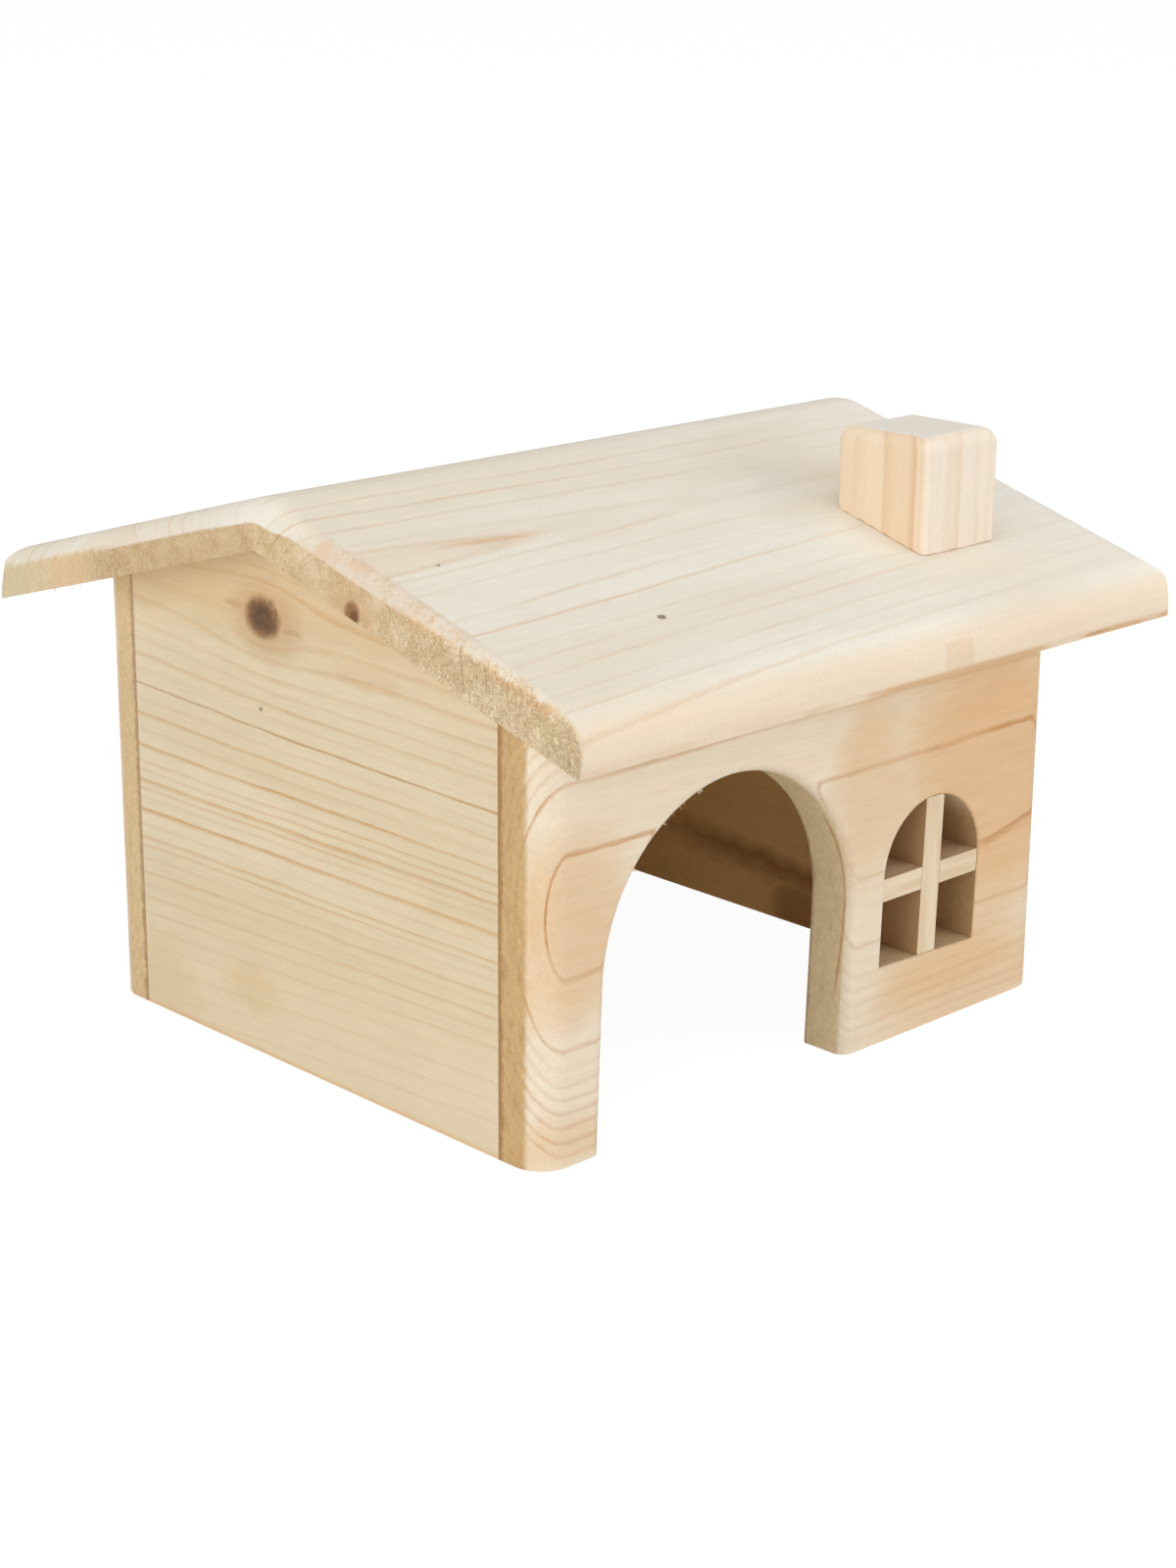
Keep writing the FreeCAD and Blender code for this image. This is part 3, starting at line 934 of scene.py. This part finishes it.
def doorway_fibres(tufts):
    """Fibres in tufts on the doorway's arch; each tuft has its x, z, spread and count."""
    fibres = []
    for x, z, spread, count in tufts:
        for _ in range(count):
            shift = random.uniform(-spread, spread)
            place = Vector((x + shift, front_face + random.uniform(0.6, 1.6), z))
            root, normal = root_on("front_wall", place)
            direction = normal + loose(0.6)
            bend = loose(0.3)
            length = random.uniform(0.4, 0.9)
            fibres.append((root, direction, bend, length, random.uniform(0.08, 0.16)))
    return fibres


bpy.context.view_layer.update()
random.seed(7)

fibre_object("torn_fibres_front_board", upper_edge_fibres(tries=190))
fibre_object("torn_fibres_underside", lower_edge_fibres(count=60))
doorway_tufts = ((-28.4, 58.0, 0.6, 9), (-44.7, 48.3, 0.5, 6), (-34.0, 55.0, 6.0, 10))
fibre_object("torn_fibres_doorway", doorway_fibres(doorway_tufts))


# Floor

def floor_material(colour, glow_share, glow_strength):
    """Matt material; glow_share of what the camera sees of it glows white."""
    graph = Graph("floor_white")
    shader = graph.node("ShaderNodeBsdfDiffuse")
    shader.inputs["Color"].default_value = colour
    glow = graph.node("ShaderNodeEmission")
    glow.inputs["Strength"].default_value = glow_strength
    rays = graph.node("ShaderNodeLightPath")
    blend = graph.node("ShaderNodeMixShader")
    seen = Number(graph, rays.outputs["Is Camera Ray"]) * glow_share
    graph.put(blend.inputs[0], seen)
    graph.tree.links.new(shader.outputs[0], blend.inputs[1])
    graph.tree.links.new(glow.outputs[0], blend.inputs[2])
    output = graph.node("ShaderNodeOutputMaterial")
    graph.tree.links.new(blend.outputs[0], output.inputs[0])
    return graph.material


floor_size = 14.0
half = floor_size / 2
floor_corners = [(-half, -half, 0), (half, -half, 0), (half, half, 0), (-half, half, 0)]
floor_mesh = bpy.data.meshes.new("floor")
floor_mesh.from_pydata(floor_corners, [], [(0, 1, 2, 3)])
floor_white = floor_material(srgb(245, 245, 245), glow_share=0.85, glow_strength=1.12)
floor_mesh.materials.append(floor_white)
floor = bpy.data.objects.new("floor", floor_mesh)
bpy.context.scene.collection.objects.link(floor)


# Light and camera

def aim(location, target, roll=0.0):
    """Matrix that places something at location, looking at target along its -Z."""
    back = (Vector(location) - Vector(target)).normalized()
    right = Vector((0, 0, 1)).cross(back).normalized()
    up = back.cross(right)
    turned_right = math.cos(roll) * right + math.sin(roll) * up
    turned_up = math.cos(roll) * up - math.sin(roll) * right
    matrix = Matrix((turned_right, turned_up, back)).transposed().to_4x4()
    matrix.translation = Vector(location)
    return matrix


def direction_to(azimuth, elevation):
    """Direction from the house, its angles in radians.

    Azimuth nought points out of the doorway, and a negative one turns towards the left gable.
    """
    level = math.cos(elevation)
    return Vector((math.sin(azimuth) * level, -math.cos(azimuth) * level, math.sin(elevation)))


def softbox(name, azimuth, elevation, distance, side, power):
    """Square lamp aimed at the middle of the house, from a direction given in degrees."""
    light = bpy.data.lights.new(name, "AREA")
    light.shape = "RECTANGLE"
    light.size = side
    light.size_y = side
    light.energy = power
    lamp = bpy.data.objects.new(name, light)
    bpy.context.scene.collection.objects.link(lamp)
    target = Vector((0, 0, 0.05))
    direction = direction_to(math.radians(azimuth), math.radians(elevation))
    lamp.matrix_world = aim(target + direction * distance, target)


softbox("left_softbox", azimuth=-84, elevation=20, distance=1.2, side=0.8, power=5.0)
softbox("camera_softbox", azimuth=-50, elevation=12, distance=1.2, side=0.7, power=1.7)
softbox("front_softbox", azimuth=30, elevation=14, distance=1.2, side=0.9, power=4.9)
softbox("top_softbox", azimuth=-20, elevation=80, distance=1.3, side=1.2, power=7.4)

world = bpy.data.worlds.new("studio")
world.use_nodes = True
background = world.node_tree.nodes["Background"]
background.inputs["Color"].default_value = (1, 1, 1, 1)
background.inputs["Strength"].default_value = 0.30
bpy.context.scene.world = world

view_azimuth = math.radians(-44.206)
view_elevation = math.radians(17.362)
view_roll = math.radians(0.413)
view_distance = 549.31 * MM
view_target = Vector((1.872, 0, 39.483)) * MM
focal_length_pixels = 2991.17
frame_height_pixels = 1600
sensor = 36.0

camera_data = bpy.data.cameras.new("camera")
camera_data.sensor_fit = "VERTICAL"
camera_data.sensor_height = sensor
camera_data.lens = sensor * focal_length_pixels / frame_height_pixels
camera_data.clip_start = 0.01
camera = bpy.data.objects.new("camera", camera_data)
bpy.context.scene.collection.objects.link(camera)
view_place = view_target + direction_to(view_azimuth, view_elevation) * view_distance
camera.matrix_world = aim(view_place, view_target, view_roll)
bpy.context.scene.camera = camera
bpy.context.scene.view_settings.view_transform = "Standard"
